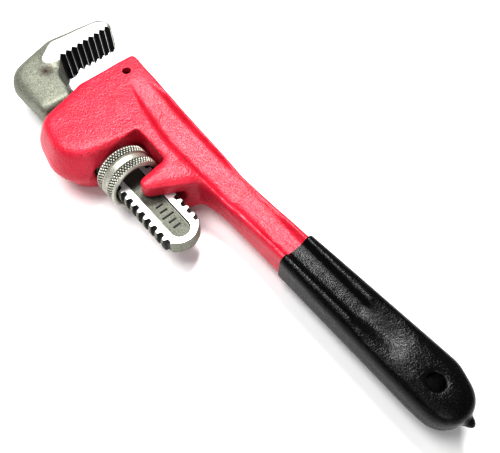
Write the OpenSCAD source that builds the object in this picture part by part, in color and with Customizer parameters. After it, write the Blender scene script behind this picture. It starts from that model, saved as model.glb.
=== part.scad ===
// Pipe wrench of the ten-inch size, lying on its side.
// X runs along the shank towards the jaws, Y from the handle towards the shank, Z through the thickness.
// Shapes are drawn around the heel jaw's pin, on the wrench's middle plane, and placed by wrench_frame().

/* [Housing] */
// Thickness of the housing, the plane that the wrench lies on to its upper face
housing_t = 27.8; // [27.6:0.2:30]
// Radius of the rounded front of the housing
bulge_r = 18.4; // [18:0.1:19]
// Distance from the heel jaw's pin to the housing's jaw side
jaw_side = 7.4; // [7.2:0.1:7.6]
// Length of the window that the nut turns in
window_l = 18.1; // [17.6:0.1:18.4]

/* [Handle] */
// Thickness of the handle bar
handle_t = 16.6; // [15.8:0.2:17.4]
// Depth of the channel in each face of the handle
channel_d = 2.8; // [2:0.2:3.2]
// Distance from the heel jaw's pin to the centre of the rounded end
grip_end = 188.8; // [185:0.2:192]
// Half width of the grip at its rounded end
grip_r = 10.7; // [10.4:0.1:11.2]
// Radius of the hanging hole through the grip
hang_r = 3.2; // [2.6:0.1:3.6]
// Thickness of the dipped coating
dip = 1; // [0.8:0.1:1.2]

/* [Hook jaw] */
// Pitch of the shank's thread, six threads to the inch
pitch = 4.2333; // [4.2:0.0001:4.26]
// Radius over the crests of the shank's thread
crest_r = 9.7; // [9.6:0.05:9.8]
// Radius at the roots of the shank's thread
root_r = 8; // [7.8:0.05:8.1]
// Thickness of the shank
shank_t = 7.4; // [7:0.1:8]
// Thickness of the jaws
jaw_t = 17; // [16:0.2:17.6]
// Depth of the jaw teeth
tooth_d = 1.9; // [1.5:0.1:2.1]

/* [Nut] */
// Outer radius of the nut's knurled bands
nut_r = 12.5; // [12.2:0.1:12.6]
// Length of the nut
nut_l = 12.3; // [12:0.1:13]
// Play between the nut's thread and the shank's, on each flank
thread_play = 0.3; // [0.25:0.05:0.4]

/* [Heel jaw] */
// Radius of the heel jaw's pin
pin_r = 2; // [1.8:0.05:2.2]
// Depth of the pin's ends below the housing's faces
pin_sunk = 3; // [2:0.5:4]

/* [Hidden] */
$fn = 96;

red = [0.86, 0.09, 0.13];
vinyl = [0.08, 0.08, 0.09];
forged = [0.62, 0.62, 0.58];
toothed = [0.5, 0.5, 0.48];
spring_steel = [0.4, 0.42, 0.45];

// Distances along X are from the pin, and along Y from the pin towards the shank.
shank_y = 28.8;          // axis of the shank, its tunnel and the nut
shank_end = -72.7;       // centre of the shank's round end
first_notch = shank_end - 5.07;
window_x0 = -30.2;       // the window's side nearest the jaws
window_x1 = window_x0 - window_l;
window_y = 15.9;         // the window's back wall
nut_x = window_x1 + 3;   // the nut's end face nearest the handle
neck_y = 23.7;           // inner side of the hook jaw's neck
neck_x = 9.2;            // where the hook jaw's thick neck begins
hang_x = 5.4 - grip_end;
spine_x = 50.6;          // outermost point of the hook jaw's back
nub_l = 3.4;             // drip at the grip's end
jaw_tip_y = -14.8;

// The whole wrench's box is centred over the origin.
pin_x = (grip_end + grip_r + nub_l - spine_x) / 2;
pin_y = -(shank_y + 5 + bulge_r + jaw_tip_y) / 2;

module wrench_frame() translate([pin_x, pin_y, housing_t / 2]) children();

// A disc centred on the middle plane, with its edges rounded by c.
module puck(x, y, r, t, c) {
    translate([x, y, 0]) {
        cylinder(r = r, h = t - 2 * c, center = true, $fn = 32);
        cylinder(r = r - 0.1 * c, h = t - 1.13 * c, center = true, $fn = 32);
        cylinder(r = r - 0.35 * c, h = t - 0.48 * c, center = true, $fn = 32);
        cylinder(r = r - c, h = t, center = true, $fn = 32);
    }
}

// A plate of thickness t on the middle plane.
module plate(t) linear_extrude(t, center = true) children();

// A long slot's outline from x0 to x1, with its round end at x0.
module slot_2d(x0, x1, w) {
    translate([x0, 0]) circle(d = w);
    translate([x0, -w / 2]) square([x1 - x0, w]);
}

// --- handle and housing ------------------------------------------------------------------

// The handle bar under the dipped coating, down to its rounded end.
module tang() {
    difference() {
        union() {
            hull() {
                puck(-76, 1.7, 7.9, handle_t, 3);
                puck(-112, 0.8, 7.9, handle_t, 3);
            }
            hull() {
                puck(-112, 0.8, 7.9, handle_t, 3);
                puck(5.6 - grip_end, -1.1, grip_r + 1.1 - dip, handle_t - 0.6, 4.5);
                puck(-grip_end, -0.3, grip_r - dip, handle_t - 0.8, 4.5);
            }
        }
        for (face = [-1, 1]) channel(face, -172, -70, 3.9, handle_t / 2 - channel_d);
        translate([hang_x, 0.4, 0]) cylinder(r = hang_r + dip, h = 40, center = true);
    }
}

// A solid that widens from an outline at its floor to the scaled outline at height h.
module widening(outline, h, sx, sy) {
    n = len(outline);
    top = [for (p = outline) [p.x * sx, p.y * sy, h]];
    floor = [for (p = outline) [p.x, p.y, 0]];
    walls = [for (i = [0 : n - 1]) [i, n + i, n + (i + 1) % n, (i + 1) % n]];
    polyhedron(points = concat(floor, top),
               faces = concat([[for (i = [0 : n - 1]) i]], [[for (i = [0 : n - 1]) 2 * n - 1 - i]], walls));
}

// A channel with sloping walls, cut into one face from x0 to x1, its floor at height z.
module channel(face, x0, x1, half_w, z) {
    half_l = (x1 - x0) / 2;
    outline = [[-half_l, -half_w * 0.7], [5 - half_l, -half_w * 0.85], [half_l, -half_w],
               [half_l, half_w], [5 - half_l, half_w * 0.8], [-half_l, half_w * 0.6]];
    translate([(x0 + x1) / 2, 1.2, face * z]) mirror([0, 0, face < 0 ? 1 : 0])
        widening(outline, 10, 1 + 9 / half_l, 1 + 9 / half_w);
}

// The same channel where it runs out over the housing, its floor rising towards the jaws.
module channel_run_out(face) {
    outline = [[-42, -5.2], [18, -5.2], [38, -3.4], [38, 0], [24, 2.8], [-2, 5.8], [-42, 4.8]];
    translate([-40, 1.6, face * 7.9]) rotate([0, face * -4.4, 0]) mirror([0, 0, face < 0 ? 1 : 0])
        widening(outline, 12, 1.25, 2.2);
}

// A disc whose rim slopes out from both faces to a parting line on the middle plane.
module nose(x, y, r) {
    translate([x, y, 0]) {
        cylinder(r = r, h = 2, center = true, $fn = 48);
        cylinder(r = r - 4.4, h = housing_t - 4.8, center = true, $fn = 48);
        cylinder(r = r - 5.8, h = housing_t - 1.4, center = true, $fn = 48);
        cylinder(r = r - 8, h = housing_t, center = true, $fn = 48);
    }
}

// The thick head that holds the jaws, before it is cut.
module housing_block() {
    hull() {
        puck(jaw_side - 2.4, -6.3, 2.4, housing_t, 1.4);
        puck(jaw_side - 3, 20, 3, housing_t, 1.4);
        nose(jaw_side - 11.3, shank_y + 10, 11.3);
        nose(-14.3, shank_y + 5, bulge_r);
        puck(-26, 0.2, 7, housing_t, 3);
        puck(-29, 12, 4, housing_t, 2);
    }
}

// The neck between the housing and the handle bar, with the nut's rear support.
module neck() {
    hull() {
        puck(-22, -1.2, 6, housing_t - 0.4, 3);
        puck(-27, 11, 5.7, housing_t - 0.4, 3);
        puck(-60, 3.4, 8.4, 22.6, 3);
        puck(-76, 1.7, 7.9, handle_t, 3);
    }
    hull() {
        puck(-53.6, 27.3, 3.6, 24, 2.5);
        puck(-52.7, 12, 4.4, 25, 2.5);
        puck(-62, 11, 4, 21.5, 2.5);
    }
    hull() {
        puck(-30, 11.9, 4, housing_t - 0.2, 1);
        puck(-51.4, 11.9, 4, 26.4, 1);
        puck(-50, 0, 4, 24.6, 2);
    }
}

module handle_frame() {
    pocket_w = jaw_t / 2;
    tunnel_t = shank_t + 0.8;
    color(red) wrench_frame() difference() {
        union() {
            housing_block();
            neck();
            tang();
        }
        // window for the nut, open to the front
        translate([window_x1, window_y, -housing_t]) cube([window_l, 60, 2 * housing_t]);
        // slot between the two prongs behind the window
        translate([-90, 16.5, 0]) plate(tunnel_t) square([90 + window_x1 + 1, 40]);
        // tunnel that the shank slides in
        translate([window_x0 - 1, shank_y - crest_r - 0.4, 0]) plate(tunnel_t)
            square([60, 2 * crest_r + 1.2]);
        // mouth that the hook jaw's neck closes into
        translate([neck_x - 13, neck_y - 0.4, 0]) plate(jaw_t + 0.6) square([20, 17.8]);
        // pocket for the heel jaw's tongue
        translate([-9.2, -4.7, 0]) plate(pocket_w + 0.4) square([40, 19.4]);
        // seat for the flat spring behind the shank
        translate([-29, shank_y - crest_r - 2.4, 0]) plate(7.6) square([40, 3]);
        // well for the coil spring
        translate([-17, 18, 0]) rotate([90, 0, 0]) cylinder(r = 3.6, h = 10.9);
        cylinder(r = pin_r, h = 2 * housing_t, center = true);
        for (face = [-1, 1]) channel_run_out(face);
    }
}

// --- dipped grip -------------------------------------------------------------------------

module dipped_grip() {
    start_x = -113.4;
    color(vinyl) wrench_frame() difference() {
        union() {
            hull() {
                translate([start_x, 0.7, 0]) rotate([0, -90, 0]) grip_section();
                puck(5.6 - grip_end, -1.1, grip_r + 1.1, handle_t - 0.6 + 2 * dip, 6);
                puck(-grip_end, -0.3, grip_r, handle_t - 0.8 + 2 * dip, 6);
            }
            // drip left where the coating ran off
            translate([1 - grip_end - grip_r, -1.2, 0]) rotate([0, -90, 0])
                cylinder(r1 = 2.4, r2 = 0.8, h = nub_l + 1);
        }
        tang();
        for (face = [-1, 1]) channel(face, -166, -100, 3.4, handle_t / 2 - channel_d + dip);
        translate([hang_x, 0.4, 0]) cylinder(r = hang_r, h = 40, center = true);
    }
}

// The coating's outline where it starts, as a thin slab.
module grip_section() {
    linear_extrude(0.6) for (y = [-1, 1], z = [-1, 1])
        translate([z * (handle_t / 2 + dip - 3.8), y * (8.9 - 3.8)]) circle(r = 3.8, $fn = 32);
}

// --- hook jaw ----------------------------------------------------------------------------

// One side's thread grooves on the shank, on a helix that the nut's thread runs in.
module thread_grooves(side) {
    count = 16;
    half_crest = 1.35;
    half_root = 0.85;
    lean = side * atan(pitch / (2 * PI * 8.9));
    for (k = [0 : count - 1])
        translate([first_notch + (k + (side < 0 ? 0.5 : 0)) * pitch, shank_y, 0]) rotate([0, lean, 0])
            rotate([side * 90 - 35, 0, 0]) rotate([0, 90, 0]) rotate_extrude(angle = 70)
                polygon([[root_r, -half_root], [crest_r + 1, -half_crest - 0.2],
                         [crest_r + 1, half_crest + 0.2], [root_r, half_root]]);
}

module shank() {
    recess_w = 8.8;
    difference() {
        intersection() {
            plate(shank_t) translate([0, shank_y]) slot_2d(shank_end, 26, 2 * crest_r);
            translate([-100, shank_y, 0]) rotate([0, 90, 0]) cylinder(r = crest_r, h = 140);
        }
        for (side = [-1, 1]) thread_grooves(side);
        for (face = [-1, 1])
            translate([0, shank_y, face * shank_t / 2]) plate(1.8) slot_2d(-75.4, -20, recess_w);
        // relief that passes the heel jaw
        translate([neck_x - 27.4, 0, 0]) plate(40) square([60, neck_y]);
    }
    // plain raised marks in the recess
    for (face = [-1, 1], k = [0 : 4])
        translate([3 * k - 73.4, shank_y, face * (shank_t / 2 - 0.75)])
            cube([0.9, k == 2 ? 5.6 : 3.6, 0.9], center = true);
}

// The hook's blank: the thick neck beyond the housing, and the block behind the teeth.
module hook_blank() {
    hull() {
        puck(neck_x + 3.8, neck_y + 3.8, 3.8, jaw_t, 2.5);
        puck(neck_x + 3.9, 36.6, 3.9, jaw_t, 3.4);
        puck(32.9, 29.2, 13, jaw_t, 6.5);
    }
    hull() {
        puck(32.9, 29.2, 13, jaw_t, 6.5);
        puck(spine_x - 7.8, 14, 7.8, jaw_t, 6.5);
        puck(36, 20, 5, jaw_t, 1);
    }
    hull() {
        puck(spine_x - 7.8, 14, 7.8, jaw_t, 6.5);
        puck(40.6, jaw_tip_y + 5.2, 5.2, jaw_t - 0.6, 3.5);
        puck(37.8, jaw_tip_y + 3.9, 3.9, jaw_t - 0.6, 2);
        puck(36, 18, 5, jaw_t, 1);
    }
}

module hook_jaw() {
    face_top = [32.5, 16.6];   // first tooth, next to the throat
    face_tip = [34.8, -13.1];  // last tooth, at the jaw's tip
    lean = atan2(face_tip.x - face_top.x, face_top.y - face_tip.y);
    teeth = 9;
    tooth_p = norm(face_tip - face_top) / teeth;
    color(forged) wrench_frame() {
        shank();
        difference() {
            hook_blank();
            // throat, tooth face and the gullets between the teeth
            plate(60) {
                polygon([[-20, neck_y], [20.5, neck_y], [25, 22.6], [28.6, 20.8], [31.2, 18.6],
                         face_top, face_tip, [35, -30], [-20, -30]]);
                translate(face_top) rotate(lean) for (k = [0 : teeth - 1])
                    translate([0, -k * tooth_p])
                        polygon([[-1, -0.2], [-1, 0.3 - tooth_p], [0, 0.3 - tooth_p],
                                 [tooth_d, -1], [tooth_d, -0.6]]);
            }
        }
    }
}

// --- heel jaw ----------------------------------------------------------------------------

module heel_jaw() {
    face_x = 20.2;
    tooth_p = 3.175;
    teeth = 7;
    back = jaw_side + 0.1;
    color(toothed) wrench_frame() difference() {
        union() {
            plate(jaw_t - 0.4) difference() {
                polygon([[back, -11], [face_x - 1.2, -11], [face_x, -9.8], [face_x, 13.2], [17.1, 17.3],
                         [17.1, neck_y - 3.1], [14.8, neck_y - 1.2], [11.8, neck_y - 0.4],
                         [back, neck_y - 0.4]]);
                for (k = [0 : teeth - 1])
                    translate([face_x, 12.8 - k * tooth_p])
                        polygon([[1, -0.2], [1, 0.4 - tooth_p], [0, 0.4 - tooth_p], [-tooth_d + 0.2, -0.9],
                                 [-tooth_d + 0.2, -0.5], [0, 0]]);
            }
            // tongue that the pin holds in the housing
            plate(jaw_t / 2) translate([-9, -4.5]) square([20, 19]);
        }
        // shallow line between the teeth and the toe
        for (face = [-1, 1])
            translate([12.4, 16.6, face * (jaw_t / 2 - 0.2)]) rotate(-11)
                cube([20, 0.5, 0.6], center = true);
        cylinder(r = pin_r + 0.05, h = 40, center = true);
    }
}

module heel_jaw_pin() {
    color(toothed) wrench_frame() cylinder(r = pin_r, h = housing_t - 2 * pin_sunk, center = true);
}

// --- adjusting nut -----------------------------------------------------------------------

// The thread ridge inside the nut, a trapezoid swept along a helix.
module nut_ridge(turns, steps) {
    inner = root_r + 0.3;
    outer = crest_r + 0.8;
    half_in = 0.92 - thread_play;
    half_out = 1.53 - thread_play;
    section = [[inner, -half_in], [outer, -half_out], [outer, half_out], [inner, half_in]];
    n = turns * steps;
    points = [for (i = [0 : n], p = section)
        let (a = 360 * i / steps) [p[1] + pitch * i / steps, p[0] * cos(a), p[0] * sin(a)]];
    walls = [for (i = [0 : n - 1], j = [0 : 3])
        [4 * i + j, 4 * i + (j + 1) % 4, 4 * i + 4 + (j + 1) % 4, 4 * i + 4 + j]];
    polyhedron(points = points,
               faces = concat([[3, 2, 1, 0]], walls, [[4 * n, 4 * n + 1, 4 * n + 2, 4 * n + 3]]));
}

module adjusting_nut() {
    bore_r = crest_r + 0.4;
    band_l = (nut_l - 2.7) / 2;
    groove_r = nut_r - 0.8;
    first_groove = first_notch + pitch * floor((nut_x - first_notch) / pitch - 1);
    color(toothed) wrench_frame() {
        translate([nut_x, shank_y, 0]) rotate([0, 90, 0]) rotate_extrude()
            polygon([[bore_r + 0.8, 0], [nut_r - 0.7, 0], [nut_r, 0.7], [nut_r, band_l - 0.4],
                     [groove_r, band_l], [groove_r, nut_l - band_l], [nut_r, nut_l - band_l + 0.4],
                     [nut_r, nut_l - 0.7], [nut_r - 0.7, nut_l], [bore_r + 0.8, nut_l],
                     [bore_r, nut_l - 0.8], [bore_r, 0.8]]);
        intersection() {
            translate([first_groove, shank_y, 0]) nut_ridge(6, 48);
            translate([nut_x + 0.8, shank_y, 0]) rotate([0, 90, 0])
                cylinder(r = bore_r + 0.2, h = nut_l - 1.6);
        }
    }
}

// --- springs behind the shank -------------------------------------------------------------

spring_y = shank_y - crest_r - 0.5;

module flat_spring() {
    color(spring_steel) wrench_frame() difference() {
        translate([-28, spring_y - 0.9, -3.5]) cube([34, 0.9, 7]);
        translate([-17, spring_y + 1, 0]) rotate([90, 0, 0]) cylinder(r = 1.25, h = 4);
    }
}

module spring_rivet() {
    color(spring_steel) wrench_frame() translate([-17, spring_y, 0]) rotate([90, 0, 0]) {
        translate([0, 0, -0.3]) cylinder(r = 2, h = 0.25);
        translate([0, 0, -0.1]) cylinder(r = 1.2, h = 1.1);
        translate([0, 0, 0.95]) cylinder(r = 2, h = 1.6);
    }
}

module coil_spring() {
    coil_r = 2.85;
    wire_r = 0.4;
    turns = 6;
    steps = 24;
    sides = 8;
    n = turns * steps;
    rise = 9.4 / turns;
    points = [for (i = [0 : n], j = [0 : sides - 1])
        let (a = 360 * i / steps, b = 360 * j / sides, r = coil_r + wire_r * cos(b))
        [r * cos(a), r * sin(a), rise * i / steps + wire_r * sin(b)]];
    walls = [for (i = [0 : n - 1], j = [0 : sides - 1])
        [sides * i + j, sides * i + (j + 1) % sides,
         sides * (i + 1) + (j + 1) % sides, sides * (i + 1) + j]];
    start = [for (j = [0 : sides - 1]) sides - 1 - j];
    end = [for (j = [0 : sides - 1]) sides * n + j];
    color(spring_steel) wrench_frame() translate([-17, spring_y - 1.4, 0]) rotate([90, 0, 0])
        polyhedron(points = points, faces = concat([start], walls, [end]));
}

handle_frame();
dipped_grip();
hook_jaw();
heel_jaw();
heel_jaw_pin();
adjusting_nut();
flat_spring();
spring_rivet();
coil_spring();
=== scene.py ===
import math

import bmesh
import bpy
import numpy as np
from mathutils import Matrix, Vector, noise


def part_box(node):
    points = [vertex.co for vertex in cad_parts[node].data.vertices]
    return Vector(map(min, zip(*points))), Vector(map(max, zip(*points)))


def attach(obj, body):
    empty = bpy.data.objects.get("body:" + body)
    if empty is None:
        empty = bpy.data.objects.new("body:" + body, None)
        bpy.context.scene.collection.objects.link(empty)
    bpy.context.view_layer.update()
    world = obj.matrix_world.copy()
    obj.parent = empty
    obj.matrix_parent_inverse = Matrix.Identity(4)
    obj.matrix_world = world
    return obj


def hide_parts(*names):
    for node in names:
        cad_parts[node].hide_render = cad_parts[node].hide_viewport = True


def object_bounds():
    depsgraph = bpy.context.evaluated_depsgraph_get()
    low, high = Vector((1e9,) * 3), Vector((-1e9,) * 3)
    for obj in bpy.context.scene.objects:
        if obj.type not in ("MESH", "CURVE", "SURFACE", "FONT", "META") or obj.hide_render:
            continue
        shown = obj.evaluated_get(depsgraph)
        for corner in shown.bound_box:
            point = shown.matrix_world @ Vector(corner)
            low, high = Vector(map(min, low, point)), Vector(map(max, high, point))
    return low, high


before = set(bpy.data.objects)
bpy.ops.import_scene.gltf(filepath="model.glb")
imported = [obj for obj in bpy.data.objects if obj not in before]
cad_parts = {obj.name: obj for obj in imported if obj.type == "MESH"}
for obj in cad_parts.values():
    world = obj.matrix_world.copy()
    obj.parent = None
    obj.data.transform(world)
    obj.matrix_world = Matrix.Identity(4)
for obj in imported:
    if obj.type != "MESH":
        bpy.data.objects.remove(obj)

CAD_BOX = [list(map(float, corner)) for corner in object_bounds()]
MM = 0.001

# --- places, in millimetres from the heel jaw's pin on the middle plane --------------------

pin_lo, pin_hi = (np.array(corner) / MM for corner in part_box("heel_jaw_pin"))
nut_lo, nut_hi = (np.array(corner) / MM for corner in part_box("adjusting_nut"))
hook_lo, hook_hi = (np.array(corner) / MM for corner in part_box("hook_jaw"))
grip_lo, grip_hi = (np.array(corner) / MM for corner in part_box("dipped_grip"))

PIN = (pin_lo + pin_hi) / 2
SHANK_Y = float((nut_lo + nut_hi)[1] / 2 - PIN[1])
NUT_X0 = float(nut_lo[0] - PIN[0])
NUT_X1 = float(nut_hi[0] - PIN[0])
NUT_R = float((nut_hi - nut_lo)[1] / 2)
SPINE_X = float(hook_hi[0] - PIN[0])
JAW_TIP_Y = float(hook_lo[1] - PIN[1])
JAW_T = float((hook_hi - hook_lo)[2])
GRIP_X1 = float(grip_hi[0] - PIN[0])

PITCH = 25.4 / 6
CREST_R = 9.7
ROOT_R = 8.0
SHANK_T = 7.4
SHANK_END = float(hook_lo[0] - PIN[0]) + CREST_R
FIRST_NOTCH = SHANK_END - 5.07
NECK_X = 9.2
WINDOW_X1 = -30.2
HOUSING_T = 27.8
PIN_R = 2.0
NECK_Y = 23.7
WELD = 0.004                    # corners closer than this are one corner
HOUSING_FACE = HOUSING_T / 2 - 0.15
CAST_T = JAW_T - 1.5            # the hook's cast part, thinner than its ground jaw
RECESS_DEPTH = 0.9


def placed(points):
    """Millimetres from the pin to metres in the frame."""
    return (np.asarray(points, float) + PIN) * MM


# --- meshes --------------------------------------------------------------------------------

def mesh_object(name, points, faces):
    """A linked mesh from points in millimetres and lists of corner numbers."""
    mesh = bpy.data.meshes.new(name)
    mesh.from_pydata([tuple(p) for p in placed(points)], [], [list(map(int, f)) for f in faces])
    mesh.validate()
    piece = bpy.data.objects.new(name, mesh)
    bpy.context.scene.collection.objects.link(piece)
    return piece


def applied(piece):
    """Bakes a piece's modifiers into its mesh."""
    graph = bpy.context.evaluated_depsgraph_get()
    mesh = bpy.data.meshes.new_from_object(piece.evaluated_get(graph))
    piece.modifiers.clear()
    old = piece.data
    piece.data = mesh
    bpy.data.meshes.remove(old)
    return piece


def welded(piece):
    """Joins corners that are closer together than WELD."""
    bm = bmesh.new()
    bm.from_mesh(piece.data)
    bmesh.ops.remove_doubles(bm, verts=bm.verts, dist=WELD * MM)
    bm.to_mesh(piece.data)
    bm.free()
    return piece


def joined_copy(name, nodes):
    """One loose mesh from copies of CAD nodes."""
    bm = bmesh.new()
    for node in nodes:
        bm.from_mesh(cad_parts[node].data)
    mesh = bpy.data.meshes.new(name)
    bm.to_mesh(mesh)
    bm.free()
    mesh.materials.clear()
    piece = bpy.data.objects.new(name, mesh)
    bpy.context.scene.collection.objects.link(piece)
    return welded(piece)


def softened(piece, voxel, rounds):
    """Remeshes a piece on an even grid and rounds its edges."""
    remesh = piece.modifiers.new("even", "REMESH")
    remesh.mode = "VOXEL"
    remesh.voxel_size = voxel * MM
    applied(piece)
    smooth = piece.modifiers.new("round", "SMOOTH")
    smooth.factor = 0.5
    smooth.iterations = rounds
    return applied(piece)


def cut(piece, cutter, operation="DIFFERENCE"):
    """Cuts a piece with another, which is used up."""
    boolean = piece.modifiers.new("cut", "BOOLEAN")
    boolean.operation = operation
    boolean.object = cutter
    boolean.solver = "EXACT"
    applied(piece)
    bpy.data.objects.remove(cutter)
    return piece


def sliced(piece, x, keep_low):
    """Keeps the part of a piece on one side of a plane across X, and closes it."""
    bm = bmesh.new()
    bm.from_mesh(piece.data)
    plane = placed([x, 0, 0])
    geometry = bm.verts[:] + bm.edges[:] + bm.faces[:]
    result = bmesh.ops.bisect_plane(bm, geom=geometry, plane_co=plane, plane_no=(1, 0, 0),
                                    clear_outer=keep_low, clear_inner=not keep_low)
    rim = [e for e in result["geom_cut"] if isinstance(e, bmesh.types.BMEdge)]
    bmesh.ops.holes_fill(bm, edges=rim, sides=0)
    bmesh.ops.triangulate(bm, faces=[f for f in bm.faces if len(f.verts) > 4])
    bm.to_mesh(piece.data)
    bm.free()
    return piece


def faced_outward(piece):
    """Turns every face of a closed piece to point outward."""
    bm = bmesh.new()
    bm.from_mesh(piece.data)
    bmesh.ops.recalc_face_normals(bm, faces=bm.faces)
    bm.to_mesh(piece.data)
    bm.free()
    return piece


def vertices(piece):
    """Every corner's place, in metres."""
    points = np.empty(len(piece.data.vertices) * 3)
    piece.data.vertices.foreach_get("co", points)
    return points.reshape(-1, 3)


def normals(piece):
    """Every corner's outward direction."""
    out = np.empty(len(piece.data.vertices) * 3)
    piece.data.vertex_normals.foreach_get("vector", out)
    return out.reshape(-1, 3)


def move_to(piece, points):
    """Gives every corner a new place, in metres."""
    piece.data.vertices.foreach_set("co", points.ravel())
    piece.data.update()


def eased(piece, weight_at, rounds):
    """Smooths a piece only where weight_at, worked out from places and normals, is above 0."""
    places = vertices(piece) / MM - PIN
    weights = np.clip(weight_at(places, normals(piece)), 0, 1)
    group = piece.vertex_groups.new(name="eased")
    for level in (0.25, 0.5, 0.75, 1.0):
        chosen = np.flatnonzero(np.abs(weights - level) <= 0.125)
        group.add(chosen.tolist(), level, "REPLACE")
    smooth = piece.modifiers.new("ease", "SMOOTH")
    smooth.factor = 0.5
    smooth.iterations = rounds
    smooth.vertex_group = "eased"
    applied(piece)
    piece.vertex_groups.clear()
    return piece


def between(values, low, high, soft):
    """1 inside a range and 0 outside it, with soft ends."""
    return np.clip((values - low) / soft, 0, 1) * np.clip((high - values) / soft, 0, 1)


def cast_surface(piece, height, size):
    """The slow unevenness of a casting, and its parting line on the middle plane."""
    points, outward = vertices(piece), normals(piece)
    wave = np.array([noise.noise(Vector(p) / (size * MM)) for p in points])
    z = points[:, 2] / MM - PIN[2]
    side = 1 - np.abs(outward[:, 2])
    ridge = 0.16 * np.exp(-(z / 0.45) ** 2) * side
    points = points + outward * ((height * (wave - 0.6) + ridge) * MM)[:, None]
    move_to(piece, np.clip(points, *CAD_BOX))


def shade(piece, angle):
    """Smooth shading, with edges sharper than the angle left crisp."""
    bpy.context.view_layer.objects.active = piece
    for other in bpy.context.selected_objects:
        other.select_set(False)
    piece.select_set(True)
    bpy.ops.object.shade_smooth_by_angle(angle=math.radians(angle))


def puck(x, y, r, t, c, sides=40):
    """Points of a disc centred on the middle plane with its edges rounded by c."""
    turn = np.linspace(0, 2 * np.pi, sides, endpoint=False)
    rings = []
    for step in np.linspace(0, np.pi / 2, 7):
        ring_r, ring_z = r - c + c * math.cos(step), t / 2 - c + c * math.sin(step)
        for side in (-1, 1):
            ring = np.stack([x + ring_r * np.cos(turn), y + ring_r * np.sin(turn),
                             np.full(sides, side * ring_z)], axis=1)
            rings.append(ring)
    return np.concatenate(rings)


def hull(name, groups):
    """Convex hulls of groups of points, in one mesh."""
    bm = bmesh.new()
    for group in groups:
        fresh = [bm.verts.new(p) for p in placed(np.concatenate(group))]
        result = bmesh.ops.convex_hull(bm, input=fresh)
        spare = {v for v in result["geom_interior"] + result["geom_unused"]
                 if isinstance(v, bmesh.types.BMVert) and v.is_valid}
        bmesh.ops.delete(bm, geom=list(spare), context="VERTS")
    mesh = bpy.data.meshes.new(name)
    bm.to_mesh(mesh)
    bm.free()
    piece = bpy.data.objects.new(name, mesh)
    bpy.context.scene.collection.objects.link(piece)
    return piece


def arc(centre, radius, start, end, steps):
    """Points along part of a circle, between two angles in degrees."""
    turn = np.radians(np.linspace(start, end, steps))
    return [[centre[0] + radius * math.cos(a), centre[1] + radius * math.sin(a)] for a in turn]


def prism(name, outline, low, high):
    """An outline in X and Y drawn out along Z."""
    n = len(outline)
    points = [[x, y, low] for x, y in outline] + [[x, y, high] for x, y in outline]
    faces = [list(range(n))[::-1], list(range(n, 2 * n))]
    faces += [[i, (i + 1) % n, n + (i + 1) % n, n + i] for i in range(n)]
    return faced_outward(mesh_object(name, points, faces))


# --- materials ------------------------------------------------------------------------------

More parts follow.
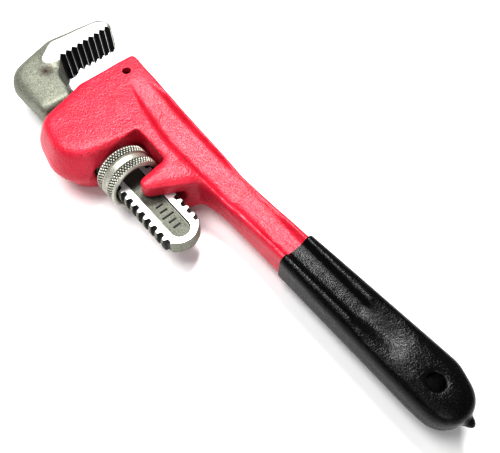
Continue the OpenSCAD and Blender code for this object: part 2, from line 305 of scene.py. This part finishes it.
class Finish:
    """A node material around one Principled shader."""

    def __init__(self, name, **values):
        self.material = bpy.data.materials.new(name)
        self.material.use_nodes = True
        self.nodes = self.material.node_tree.nodes
        self.links = self.material.node_tree.links
        self.shader = self.nodes["Principled BSDF"]
        self.place = self.nodes.new("ShaderNodeTexCoord").outputs["Object"]
        self.height = None
        for key, value in values.items():
            self.shader.inputs[key.replace("_", " ")].default_value = value

    def noise(self, size, detail=4.0, roughness=0.55, stretch=(1, 1, 1)):
        scaled = self.nodes.new("ShaderNodeMapping")
        scaled.inputs["Scale"].default_value = stretch
        self.links.new(self.place, scaled.inputs["Vector"])
        texture = self.nodes.new("ShaderNodeTexNoise")
        texture.inputs["Scale"].default_value = 1 / (size * MM)
        texture.inputs["Detail"].default_value = detail
        texture.inputs["Roughness"].default_value = roughness
        self.links.new(scaled.outputs["Vector"], texture.inputs["Vector"])
        return texture.outputs["Fac"]

    def ramp(self, value, *stops):
        node = self.nodes.new("ShaderNodeValToRGB")
        elements = node.color_ramp.elements
        while len(elements) < len(stops):
            elements.new(0.5)
        for element, (at, colour) in zip(elements, stops):
            element.position = at
            element.color = (*colour, 1) if len(colour) == 3 else (*[colour[0]] * 3, 1)
        self.links.new(value, node.inputs["Fac"])
        return node.outputs["Color"]

    def mix(self, factor, a, b, how="MIX"):
        node = self.nodes.new("ShaderNodeMix")
        node.data_type = "RGBA"
        node.blend_type = how
        for name, value in (("Factor", factor), ("A", a), ("B", b)):
            socket = [s for s in node.inputs if s.name == name and s.enabled][0]
            if isinstance(value, bpy.types.NodeSocket):
                self.links.new(value, socket)
            else:
                socket.default_value = value if name == "Factor" else (*value, 1)
        return [s for s in node.outputs if s.enabled][0]

    def near(self, x, y, radius, soft):
        """1 close to a line along Z through a place on the object, falling to 0."""
        distance = self.nodes.new("ShaderNodeVectorMath")
        distance.operation = "DISTANCE"
        flat = self.nodes.new("ShaderNodeVectorMath")
        flat.operation = "MULTIPLY"
        flat.inputs[1].default_value = (1, 1, 0)
        self.links.new(self.place, flat.inputs[0])
        self.links.new(flat.outputs["Vector"], distance.inputs[0])
        centre = placed([x, y, 0])
        distance.inputs[1].default_value = (centre[0], centre[1], 0)
        spread = self.nodes.new("ShaderNodeMapRange")
        spread.inputs["From Min"].default_value = radius * MM
        spread.inputs["From Max"].default_value = (radius + soft) * MM
        spread.inputs["To Min"].default_value = 1
        spread.inputs["To Max"].default_value = 0
        self.links.new(distance.outputs["Value"], spread.inputs["Value"])
        return spread.outputs["Result"]

    def times(self, a, b):
        node = self.nodes.new("ShaderNodeMath")
        node.operation = "MULTIPLY"
        for socket, value in zip(node.inputs, (a, b)):
            if isinstance(value, bpy.types.NodeSocket):
                self.links.new(value, socket)
            else:
                socket.default_value = value
        return node.outputs[0]

    def colour(self, value):
        self.links.new(value, self.shader.inputs["Base Color"])
        return self

    def rough(self, value, low, high):
        spread = self.nodes.new("ShaderNodeMapRange")
        spread.inputs["From Min"].default_value = 0.3
        spread.inputs["From Max"].default_value = 0.7
        spread.inputs["To Min"].default_value = low
        spread.inputs["To Max"].default_value = high
        self.links.new(value, spread.inputs["Value"])
        self.links.new(spread.outputs["Result"], self.shader.inputs["Roughness"])
        return self

    def bump(self, value, height):
        node = self.nodes.new("ShaderNodeBump")
        node.inputs["Distance"].default_value = height * MM
        node.inputs["Strength"].default_value = 1
        self.links.new(value, node.inputs["Height"])
        if self.height:
            self.links.new(self.height, node.inputs["Normal"])
        self.height = node.outputs["Normal"]
        self.links.new(self.height, self.shader.inputs["Normal"])
        return self


def red_paint():
    finish = Finish("red_paint", Specular_IOR_Level=0.7)
    grain = finish.noise(0.9, 3)
    cloud = finish.noise(9, 3)
    base = finish.ramp(cloud, (0.3, (0.54, 0.011, 0.043)), (0.7, (0.66, 0.028, 0.072)))
    specks = finish.ramp(finish.noise(1.1, 2), (0.24, (0.45,)), (0.36, (1.0,)))
    finish.colour(finish.mix(1.0, base, specks, "MULTIPLY"))
    return finish.rough(grain, 0.26, 0.42).bump(grain, 0.32).bump(finish.noise(3.4, 2), 0.15).material


def black_vinyl():
    finish = Finish("black_vinyl", Specular_IOR_Level=0.3)
    grain = finish.noise(0.6, 2)
    finish.colour(finish.ramp(grain, (0.35, (0.001, 0.0013, 0.001)), (0.7, (0.003, 0.0035, 0.003))))
    return finish.rough(grain, 0.2, 0.32).bump(grain, 0.15).bump(finish.noise(5, 2), 0.3).material


def forged_steel(name, tone):
    """Bead-blasted casting; a tone below 1 darkens all of it, which is used as painted shade."""
    finish = Finish(name, Metallic=0.55)
    grain = finish.noise(0.55, 4, 0.7)
    base = finish.ramp(grain, (0.32, (0.12, 0.125, 0.10)), (0.5, (0.30, 0.31, 0.255)),
                       (0.72, (0.48, 0.49, 0.42)))
    broad = finish.ramp(finish.noise(11, 3), (0.35, (0.86,)), (0.65, (1.0,)))
    metal = finish.mix(1.0, finish.mix(1.0, base, broad, "MULTIPLY"), (tone, tone, tone), "MULTIPLY")
    spot = finish.near(29.8, 25.8, 0.6, 4.0)
    blotches = finish.ramp(finish.noise(3, 4), (0.3, (0.4,)), (0.6, (1.0,)))
    stain = finish.times(spot, blotches)
    finish.colour(finish.mix(stain, metal, (0.045, 0.022, 0.014)))
    return finish.rough(grain, 0.42, 0.62).bump(grain, 0.1).bump(finish.noise(2.5, 3), 0.14).material


def ground_steel():
    finish = Finish("ground_steel", Metallic=0.35)
    lines = finish.noise(0.25, 2, 0.5, (0.06, 1, 1))
    finish.colour(finish.ramp(lines, (0.25, (0.88, 0.89, 0.88)), (0.6, (0.97, 0.97, 0.97))))
    return finish.rough(lines, 0.28, 0.4).bump(lines, 0.008).material


def heel_steel():
    """Ground top and bottom faces, and every other face painted dark by the way it faces: painted shade on
    the sides, and the dark teeth.
    """
    finish = Finish("heel_steel", Metallic=0.35)
    parts = finish.nodes.new("ShaderNodeSeparateXYZ")
    finish.links.new(finish.nodes.new("ShaderNodeTexCoord").outputs["Normal"], parts.inputs["Vector"])
    up = finish.times(parts.outputs["Z"], parts.outputs["Z"])
    grain = finish.noise(0.5, 3)
    side = finish.ramp(grain, (0.3, (0.05, 0.05, 0.045)), (0.7, (0.16, 0.16, 0.15)))
    top = finish.ramp(grain, (0.3, (0.90, 0.90, 0.89)), (0.7, (0.97, 0.97, 0.97)))
    finish.colour(finish.mix(finish.ramp(up, (0.5, (0.0,)), (0.8, (1.0,))), side, top))
    return finish.rough(grain, 0.3, 0.45).bump(grain, 0.02).material


# Near-black steel: painted shade in the thread roots, recess walls, knurl hollows and nut bore, and the
# dark teeth and recess bars.
def dark_and_shade_steel():
    finish = Finish("dark_and_shade_steel", Metallic=0.3)
    scale = finish.noise(0.6, 4)
    finish.colour(finish.ramp(scale, (0.35, (0.010, 0.010, 0.011)), (0.75, (0.035, 0.037, 0.036))))
    return finish.rough(scale, 0.35, 0.55).bump(scale, 0.05).material


def knurled_steel():
    finish = Finish("knurled_steel", Metallic=0.7)
    grain = finish.noise(0.45, 3)
    finish.colour(finish.ramp(grain, (0.3, (0.42, 0.42, 0.37)), (0.65, (0.68, 0.68, 0.61))))
    return finish.rough(grain, 0.38, 0.52).bump(grain, 0.05).material


def oiled_steel(name, tone):
    finish = Finish(name, Metallic=0.9)
    grain = finish.noise(0.7, 3)
    low = tuple(0.7 * c for c in tone)
    finish.colour(finish.ramp(grain, (0.35, low), (0.65, tone)))
    return finish.rough(grain, 0.3, 0.45).bump(grain, 0.02).material


def paint(piece, *materials):
    """Gives a piece its materials, numbered from 0 in this order."""
    piece.data.materials.clear()
    for material in materials:
        piece.data.materials.append(material)


def by_face(piece, rule):
    """Gives each face the material number that the rule works out from its centre and normal."""
    count = len(piece.data.polygons)
    centres, facing = np.empty(count * 3), np.empty(count * 3)
    piece.data.polygons.foreach_get("center", centres)
    piece.data.polygons.foreach_get("normal", facing)
    centres = centres.reshape(-1, 3) / MM - PIN
    numbers = rule(centres, facing.reshape(-1, 3)).astype(np.int32)
    piece.data.polygons.foreach_set("material_index", numbers)


RED = red_paint()
VINYL = black_vinyl()
FORGED = forged_steel("forged_steel", 1.0)
# the recess floor's steel: the forged steel darkened, as painted shade
RECESS_SHADE = forged_steel("recess_shade_steel", 0.55)
GROUND = ground_steel()
DARK_AND_SHADE = dark_and_shade_steel()
KNURLED = knurled_steel()
HEEL = heel_steel()
PIN_STEEL = oiled_steel("pin_steel", (0.015, 0.013, 0.013))
SPRING_STEEL = oiled_steel("spring_steel", (0.30, 0.31, 0.33))

# --- handle and housing ----------------------------------------------------------------------

grip_split = GRIP_X1 - 0.6
handle = softened(joined_copy("housing_and_handle_casting", ["handle_frame"]), 0.52, 9)


def bulge(places, facing):
    """The housing's big curve around the nut, clear of the window."""
    x, y, z = places.T
    past_window = np.clip((x - WINDOW_X1 - 2.5) / 3, 0, 1)
    above_window = np.clip((y - 46) / 2, 0, 1)
    return np.maximum(past_window, above_window) * between(y, 15, 99, 4) * between(x, -60, 7, 2)


def channel_floor(places, facing):
    """The long channel on both faces, from the pin to the grip."""
    x, y, z = places.T
    return between(x, -108, 6, 8) * between(y, -9, 13, 3) * (np.abs(z) > 5)


def widening(places, facing):
    """The stretch where the handle widens into the housing."""
    x, y, z = places.T
    return between(x, -106, -60, 10) * between(y, -12, 15, 3)


def beak_face(places, facing):
    """The top and bottom of the beak behind the nut."""
    x, y, z = places.T
    return between(x, -72, -44, 4) * between(y, 9, 30, 2) * (np.abs(facing[:, 2]) > 0.4)


def channel_ramp(piece):
    """Lifts the channel's floor gently to the housing's face next to the pin."""
    places = vertices(piece) / MM - PIN
    x, y, z = places.T
    level = HOUSING_FACE
    climb = np.clip((x + 34) / 30, 0, 1)
    climb = climb * climb * (3 - 2 * climb)
    weight = climb * between(y, -8.5, 12, 2) * between(x, -40, 7, 3) * (np.abs(z) > level - 5)
    places[:, 2] += weight * (np.sign(z) * level - z)
    move_to(piece, (places + PIN) * MM)


def even_floor(piece):
    """Lets the channel's floor run straight from the housing down to the handle."""
    places, facing = vertices(piece) / MM - PIN, normals(piece)
    x, y, z = places.T
    start, end = -64, -108
    for side in (-1, 1):
        floor = (side * facing[:, 2] > 0.9) & (np.abs(y - 1) < 3) & (side * z > 2)
        high, low = (np.median(z[floor & (np.abs(x - at) < 2)]) for at in (start, end))
        target = high + (low - high) * (start - x) / (start - end)
        inside = between(x, end, start, 3) * between(y, -3.8, 6.4, 1.2)
        inside = inside * (side * z > 2) * (side * facing[:, 2] > 0.3)
        z = z + inside * (target - z)
    places[:, 2] = z
    move_to(piece, (places + PIN) * MM)


eased(handle, bulge, 90)
even_floor(handle)
channel_ramp(handle)
eased(handle, channel_floor, 26)
eased(handle, widening, 90)
eased(handle, beak_face, 110)
cast_surface(handle, 0.1, 7)


def flat_round_pin(piece):
    """Levels the housing's faces around the pin and opens the pin's two holes again."""
    points = vertices(piece)
    places = points / MM - PIN
    away = np.hypot(places[:, 0], places[:, 1])
    level = HOUSING_FACE
    weight = np.clip((7.5 - away) / 3.5, 0, 1) * (np.abs(places[:, 2]) > level - 4.5)
    places[:, 2] += weight * (np.sign(places[:, 2]) * level - places[:, 2])
    move_to(piece, (places + PIN) * MM)
    for side in (-1, 1):
        hole = arc((0, 0), PIN_R, 0, 352.5, 48)
        drill = prism("drill", hole, side * level - 5.5, side * level + 5.5)
        cut(piece, drill)


flat_round_pin(handle)
sliced(handle, grip_split - 4, keep_low=False)
paint(handle, RED)
shade(handle, 60)
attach(handle, "handle")
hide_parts("handle_frame")

# --- dipped grip ---------------------------------------------------------------------------

DRIP_L, DRIP_R = 4.6, 2.6


def drip(piece):
    """The blunt drop left where the vinyl ran off the grip's end."""
    bm = bmesh.new()
    bm.from_mesh(piece.data)
    size = Matrix.Diagonal((DRIP_L * MM, DRIP_R * MM, DRIP_R * MM, 1))
    centre = placed([float(grip_lo[0] - PIN[0]) + DRIP_L, -1.2, 0])
    bmesh.ops.create_icosphere(bm, subdivisions=4, radius=1, matrix=Matrix.Translation(centre) @ size)
    bm.to_mesh(piece.data)
    bm.free()
    return piece


def channel_end(places, facing):
    """The dip fills the channel more and more towards the hanging hole."""
    x, y, z = places.T
    return between(x, -178, -147, 12) * between(y, -9, 9, 3)


grip = drip(joined_copy("dipped_vinyl_grip", ["handle_frame", "dipped_grip"]))
softened(grip, 0.55, 22)
eased(grip, channel_end, 450)
sliced(grip, grip_split, keep_low=True)
paint(grip, VINYL)
shade(grip, 60)
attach(grip, "handle")
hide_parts("dipped_grip")


# --- hook jaw ----------------------------------------------------------------------------------

CAST, POLISHED_AND_HIGHLIGHT, DARK, FLOOR = range(4)   # material numbers on the hook and shank
TEETH = 9
FACE_TOP = np.array([32.5, 16.6])
FACE_TIP = np.array([34.8, -13.1])
TOOTH_DEPTH = 1.7
TIP_FLAT = 0.3


def tooth_line():
    """The saw-shaped face, from the throat to the jaw's tip."""
    along = (FACE_TIP - FACE_TOP) / TEETH
    tooth_p = np.linalg.norm(along)
    along = along / tooth_p
    inward = np.array([-along[1], along[0]])
    outline = []
    for k in range(TEETH):
        start = FACE_TOP + along * tooth_p * k
        outline.append(start)
        outline.append(start + along * 0.42 * tooth_p + inward * TOOTH_DEPTH)
        outline.append(start + along * 0.54 * tooth_p + inward * TOOTH_DEPTH)
        outline.append(start + along * (tooth_p - TIP_FLAT))
    outline.append(FACE_TIP)
    return [list(p) for p in outline]


def hook_head():
    """The hook's cast neck and shoulder and its ground, toothed jaw."""
    bend = puck(32.9, 29.2, 13, CAST_T, 7.5)
    neck = [puck(NECK_X + 3.8, NECK_Y + 3.8, 3.8, CAST_T, 2.5),
            puck(NECK_X + 3.9, 36.6, 3.9, CAST_T, 3.4),
            bend]
    shoulder = [bend,
                puck(SPINE_X - 7.8, 14, 7.8, CAST_T, 7),
                puck(36, 20, 6, CAST_T, 3)]
    jaw = [puck(SPINE_X - 10.4, 14, 10.4, JAW_T, 8.4),
           puck(35.6, 20.4, 6.2, JAW_T, 3.6),
           puck(40.6, JAW_TIP_Y + 5.2, 5.2, JAW_T - 0.1, 4.6),
           puck(37.8, JAW_TIP_Y + 3.9, 3.9, JAW_T - 0.1, 2),
           puck(36, 6, 5, JAW_T, 1)]
    piece = softened(hull("hook_jaw_head", [neck, shoulder, jaw]), 0.5, 26)
    cast_surface(piece, 0.1, 6)
    flat = JAW_T / 2 - 0.34
    slab = prism("slab", [[-40, -60], [90, -60], [90, 90], [-40, 90]], -flat, flat)
    cut(piece, slab, "INTERSECT")
    throat = [[-20, NECK_Y], [19.5, NECK_Y]] + arc((19.5, 10.7), 13, 84, 42, 12)
    outline = throat + [[30.6, 18.2]] + tooth_line() + [[35.2, -30], [-20, -30]]
    cut(piece, prism("throat", outline, -30, 30))
    paint(piece, FORGED, GROUND, DARK_AND_SHADE)

    def rule(centres, facing):
        along = (FACE_TIP - FACE_TOP) / np.linalg.norm(FACE_TIP - FACE_TOP)
        offset = (centres[:, :2] - FACE_TOP) @ np.array([-along[1], along[0]])
        upright = np.abs(facing[:, 2]) < 0.02
        level = np.abs(facing[:, 2]) > 0.9995
        # Tooth flanks are painted near-black, painted shade over the hardened teeth's dark colour; the
        # tooth crests get ground steel as a painted highlight.
        teeth = upright & (offset < TOOTH_DEPTH + 0.1) & (offset > -0.1)
        teeth &= (centres[:, 1] < FACE_TOP[1] + 0.3) & (centres[:, 1] > FACE_TIP[1] - 0.1)
        crest_highlight = teeth & (np.abs(offset) < 0.05)
        worn = level & (np.abs(np.abs(centres[:, 2]) - flat) < 0.02)
        return np.where(worn | crest_highlight, POLISHED_AND_HIGHLIGHT, np.where(teeth, DARK, CAST))

    by_face(piece, rule)
    shade(piece, 30)
    return piece


HALF_T = SHANK_T / 2
RECESS_X0, RECESS_X1, RECESS_R = -75.4, -20.0, 4.4
RELIEF_X = NECK_X - 27.4        # from here to the neck the jaw side is cut flat
RIM = 0.35                      # radius of the long rounded edges
WALL_Z = np.concatenate([[-HALF_T, -HALF_T + 0.08, -HALF_T + 0.2],
                         np.linspace(-HALF_T + RIM, HALF_T - RIM, 11),
                         [HALF_T - 0.2, HALF_T - 0.08, HALF_T]])
WALL_INSET = np.where(np.abs(WALL_Z) > HALF_T - RIM,
                      RIM - np.sqrt(np.maximum(RIM ** 2 - (np.abs(WALL_Z) - HALF_T + RIM) ** 2, 0)), 0)


def thread_radius(x, z, side):
    """The thread's radius on one side wall, where the notches follow a helix."""
    turn = side * np.arcsin(z / CREST_R)
    phase = (x - FIRST_NOTCH - PITCH * turn / (2 * np.pi) - (0 if side > 0 else PITCH / 2)) / PITCH
    away = np.abs(phase - np.round(phase)) * PITCH
    slope = np.clip((away - 0.85) / 0.62, 0, 1)
    slope = slope * slope * (3 - 2 * slope)
    last = FIRST_NOTCH + 15.6 * PITCH
    plain = (x < FIRST_NOTCH - 2.2) | (x > last)
    return np.where(plain, CREST_R, ROOT_R + (CREST_R - ROOT_R) * slope)


def wall_reach(x, side):
    """How far one side wall stands from the shank's axis, at each of its levels."""
    across_end = math.sqrt(max(CREST_R ** 2 - min(x - SHANK_END, 0) ** 2, 0.0001))
    reach = np.sqrt(np.maximum(thread_radius(x, WALL_Z, side) ** 2 - WALL_Z ** 2, 0))
    reach = np.minimum(reach, across_end)
    if side < 0 and x > RELIEF_X:
        reach = np.minimum(reach, SHANK_Y - NECK_Y - (0.2 if x > NECK_X else 0))
    return np.maximum(reach - WALL_INSET, 0.01)


def recess_line(x):
    """Places across the recess, each with its share of the depth."""
    half = 0.0
    if RECESS_X0 - RECESS_R < x < RECESS_X1:
        half = math.sqrt(max(RECESS_R ** 2 - min(x - RECESS_X0, 0) ** 2, 0))
    edge = min(half, 0.4)
    steps = [half, half - 0.45 * edge, half - edge, half - 1.6 * edge]
    scale = min(half / 0.6, 1)
    line = [(y, d * scale) for y, d in zip(steps, [0, 0.5, 0.92, 1])]
    line += [(0.5 * line[-1][0], scale), (0, scale)]
    return line + [(-y, d) for y, d in reversed(line[:-1])]


def shank_section(x):
    """One closed cross-section: a wall, a face with its recess, the other wall and face."""
    recess = recess_line(x)
    ring = [[x, SHANK_Y + y, z] for y, z in zip(wall_reach(x, 1), WALL_Z)]
    ring += [[x, SHANK_Y + y, HALF_T - RECESS_DEPTH * d] for y, d in recess]
    ring += [[x, SHANK_Y - y, z] for y, z in zip(wall_reach(x, -1)[::-1], WALL_Z[::-1])]
    ring += [[x, SHANK_Y + y, -HALF_T + RECESS_DEPTH * d] for y, d in reversed(recess)]
    return ring


def shank():
    """The threaded shank, built as cross-sections along X from its round end to the neck."""
    end_x, stop_x, spacing = SHANK_END - CREST_R, 16.0, 0.15
    round_end = SHANK_END - CREST_R * np.cos(np.linspace(0.02, np.pi / 2, 50))
    stations = np.concatenate([round_end, np.arange(SHANK_END + spacing, stop_x, spacing)])
    rows = [shank_section(x) for x in stations]
    n, m = len(rows), len(rows[0])
    faces = [[i * m + j, i * m + (j + 1) % m, (i + 1) * m + (j + 1) % m, (i + 1) * m + j]
             for i in range(n - 1) for j in range(m)]
    faces += [list(range(m)), [(n - 1) * m + j for j in range(m)][::-1]]
    piece = mesh_object("hook_jaw_shank", np.concatenate(rows), faces)
    bm = bmesh.new()
    bm.from_mesh(piece.data)
    bmesh.ops.remove_doubles(bm, verts=bm.verts, dist=0.0005 * MM)
    bmesh.ops.triangulate(bm, faces=[f for f in bm.faces if len(f.verts) > 4])
    bmesh.ops.recalc_face_normals(bm, faces=bm.faces)
    bm.to_mesh(piece.data)
    bm.free()
    paint(piece, FORGED, GROUND, DARK_AND_SHADE, RECESS_SHADE)

    def rule(centres, facing):
        level = (np.abs(facing[:, 2]) > 0.98) & (np.abs(centres[:, 2]) > HALF_T - 0.05)
        threaded = (centres[:, 0] < RELIEF_X) & (np.abs(facing[:, 2]) < 0.9)
        from_axis = np.hypot(centres[:, 1] - SHANK_Y, centres[:, 2])
        # Thread roots (gullet) and the recess's side walls (step) are painted near-black: painted shade.
        gullet = threaded & (from_axis < CREST_R - 0.25) & (np.abs(centres[:, 1] - SHANK_Y) > 5.5)
        gullet &= centres[:, 0] > SHANK_END - 6
        step = (np.abs(facing[:, 2]) < 0.9) & (np.abs(centres[:, 1] - SHANK_Y) < RECESS_R + 0.3)
        step &= (centres[:, 0] > end_x + 1.5) & (centres[:, 0] < RECESS_X1 + 1)
        # The recess floor gets the darkened steel: painted shade.
        floor = np.abs(np.abs(centres[:, 2]) - HALF_T + RECESS_DEPTH) < 0.05
        floor &= np.abs(facing[:, 2]) > 0.98
        rim_face = level & (centres[:, 0] < 0)
        return np.select([gullet | step, floor, rim_face], [DARK, FLOOR, POLISHED_AND_HIGHLIGHT], CAST)

    by_face(piece, rule)
    shade(piece, 35)
    return piece


def recess_marks():
    """Plain raised bars in the shank's recess, on both faces."""
    bars = []
    for face in (-1, 1):
        for k in range(5):
            x, half_y = 3 * k - 73.4, 2.8 if k == 2 else 1.8
            z = face * (SHANK_T / 2 - RECESS_DEPTH)
            bars.append((x, half_y, z, face))
    points, faces = [], []
    for x, half_y, z, face in bars:
        base = len(points)
        for scale, lift in ((1.0, -0.1), (0.75, 0.32), (0.5, 0.42)):
            grow = 0.45 * scale
            for dx, dy in ((-1, -1), (1, -1), (1, 1), (-1, 1)):
                points.append([x + dx * grow, SHANK_Y + dy * (half_y - 0.45 + grow), z + face * lift])
        for ring in (0, 4):
            first = base + ring
            faces += [[first + j, first + (j + 1) % 4, first + 4 + (j + 1) % 4, first + 4 + j]
                      for j in range(4)]
        faces.append([base + 8 + j for j in range(4)])
        faces.append([base + 3 - j for j in range(4)])
    piece = faced_outward(mesh_object("recess_marks", points, faces))
    paint(piece, DARK_AND_SHADE)
    return piece


head = hook_head()
threaded = shank()
marks = recess_marks()
for piece in (head, threaded, marks):
    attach(piece, "hook_jaw")
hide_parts("hook_jaw")


# --- adjusting nut --------------------------------------------------------------------------

NUT_L = NUT_X1 - NUT_X0
NUT_BORE_R = CREST_R + 0.4
NUT_CHAMFER = 0.7
GROOVE_L, GROOVE_D = 2.7, 0.8
BAND_L = (NUT_L - GROOVE_L) / 2
KNURL_STARTS, KNURL_D = 56, 0.55
KNURL_LEAD = 2 * np.pi * NUT_R / KNURL_STARTS / math.tan(math.radians(32))


def nut_profile():
    """Rows from one end of the nut and back through its bore: place, radius, share of knurling."""
    rows = [(0.0, NUT_BORE_R + 0.8, 0.0), (0.0, NUT_R - NUT_CHAMFER, 0.0)]
    for start, end in ((0.0, BAND_L), (NUT_L - BAND_L, NUT_L)):
        first_band, last_band = (start == 0.0), (end == NUT_L)
        low = start + (NUT_CHAMFER if first_band else 0.4)
        high = end - (NUT_CHAMFER if last_band else 0.4)
        if not first_band:
            rows.append((start, NUT_R - GROOVE_D, 0.0))
        for x in np.arange(low, high + 0.001, (high - low) / 26):
            fade = min((x - low) / 0.25, (high - x) / 0.25, 1.0)
            rows.append((x, NUT_R, fade))
        if not last_band:
            rows.append((end, NUT_R - GROOVE_D, 0.0))
    return rows + [(NUT_L, NUT_R - NUT_CHAMFER, 0.0), (NUT_L, NUT_BORE_R + 0.8, 0.0),
                   (NUT_L - 0.8, NUT_BORE_R, 0.0), (0.8, NUT_BORE_R, 0.0)]


def knurled_ring(x, r, share, turn):
    """One ring of points, cut between two crossing sets of ridges."""
    a = (turn * KNURL_STARTS / (2 * np.pi) + x / KNURL_LEAD) % 1
    b = (turn * KNURL_STARTS / (2 * np.pi) - x / KNURL_LEAD) % 1
    ridge = np.minimum(1 - np.abs(2 * a - 1), 1 - np.abs(2 * b - 1))
    ridge = np.clip(ridge * 1.5, 0, 1)
    radius = r - KNURL_D * share * (1 - ridge)
    return np.stack([np.full(len(turn), NUT_X0 + x),
                     SHANK_Y + radius * np.cos(turn),
                     radius * np.sin(turn)], axis=1)


def nut():
    """Two diamond-knurled bands with a smooth groove between them, around the bore."""
    around = KNURL_STARTS * 8
    turn = np.linspace(0, 2 * np.pi, around, endpoint=False)
    points = [knurled_ring(x, r, share, turn) for x, r, share in nut_profile()]
    n = len(points)
    faces = [[i * around + j, i * around + (j + 1) % around,
              ((i + 1) % n) * around + (j + 1) % around, ((i + 1) % n) * around + j]
             for i in range(n) for j in range(around)]
    piece = faced_outward(mesh_object("knurled_adjusting_nut", np.concatenate(points), faces))
    paint(piece, KNURLED, DARK_AND_SHADE)

    def rule(centres, facing):
        from_axis = np.hypot(centres[:, 1] - SHANK_Y, centres[:, 2])
        along = centres[:, 0] - NUT_X0
        band = (along < BAND_L - 0.4) | (along > NUT_L - BAND_L + 0.4)
        # The knurl's hollows and the bore are painted near-black: painted shade.
        hollow = band & (from_axis > NUT_BORE_R + 1) & (from_axis < NUT_R - 0.3)
        hollow &= (along > NUT_CHAMFER + 0.1) & (along < NUT_L - NUT_CHAMFER - 0.1)
        return np.where((from_axis < NUT_BORE_R + 0.3) | hollow, 1, 0)

    by_face(piece, rule)
    shade(piece, 30)
    return piece


knurled_nut = nut()
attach(knurled_nut, "nut")
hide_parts("adjusting_nut")

# --- CAD nodes that stay ------------------------------------------------------------------------

STAYING = {"heel_jaw": HEEL, "heel_jaw_pin": PIN_STEEL, "flat_spring": SPRING_STEEL,
           "spring_rivet": SPRING_STEEL, "coil_spring": SPRING_STEEL}
for node, material in STAYING.items():
    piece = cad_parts[node]
    for slot_place in piece.material_slots:
        slot_place.material = material

# --- table, light and camera ----------------------------------------------------------------

CAMERA_AT = (-173.7, 81.8, 199.6)
CAMERA_HEADING = -43.06
CAMERA_TIP = 60.76
CAMERA_ROLL = 2.18
CAMERA_LENS = 39.8


def table_top():
    """The white table that the wrench lies on."""
    finish = Finish("white_table", Specular_IOR_Level=0.4, Roughness=0.35)
    shade_of_white = finish.noise(400, 2)
    finish.colour(finish.ramp(shade_of_white, (0.3, (0.93, 0.93, 0.93)), (0.7, (0.95, 0.95, 0.95))))
    bpy.ops.mesh.primitive_plane_add(size=6, location=(0, 0, -0.0001))
    floor = bpy.context.object
    floor.name = "table"
    floor.data.materials.append(finish.material)


def soft_light(name, place, size, power):
    """A white disc of light aimed at the frame's origin."""
    data = bpy.data.lights.new(name, "AREA")
    data.shape = "DISK"
    data.size = size
    data.energy = power
    lamp = bpy.data.objects.new(name, data)
    lamp.location = place
    lamp.rotation_euler = (-Vector(place)).to_track_quat("-Z", "Y").to_euler()
    bpy.context.scene.collection.objects.link(lamp)


def camera():
    """The camera stands above the table, tipped down, with a slight roll."""
    heading, tip, roll = (math.radians(a) for a in (CAMERA_HEADING, CAMERA_TIP, CAMERA_ROLL))
    forward = Vector((math.cos(heading) * math.cos(tip), math.sin(heading) * math.cos(tip), -math.sin(tip)))
    level = Vector((math.sin(heading), -math.cos(heading), 0))
    up = level.cross(forward)
    right = level * math.cos(roll) + up * math.sin(roll)
    up = right.cross(forward)
    data = bpy.data.cameras.new("camera")
    data.lens = CAMERA_LENS
    data.sensor_width = 36
    data.clip_end = 50
    eye = bpy.data.objects.new("camera", data)
    turn = Matrix((right, up, -forward)).transposed().to_4x4()
    eye.matrix_world = Matrix.Translation(placed(CAMERA_AT)) @ turn
    bpy.context.scene.collection.objects.link(eye)
    bpy.context.scene.camera = eye


table_top()
camera()
world = bpy.data.worlds.new("studio")
bpy.context.scene.world = world
world.use_nodes = True
world.node_tree.nodes["Background"].inputs["Color"].default_value = (1, 1, 1, 1)
world.node_tree.nodes["Background"].inputs["Strength"].default_value = 0.28
soft_light("key", (0.3, 0.2, 0.9), 0.5, 7)
soft_light("top", (0.30, -0.33, 0.9), 0.26, 9.5)
soft_light("left", (-0.7, 0.5, 0.7), 0.7, 4)
bpy.context.scene.view_settings.view_transform = "Standard"
bpy.context.scene.view_settings.gamma = 0.72
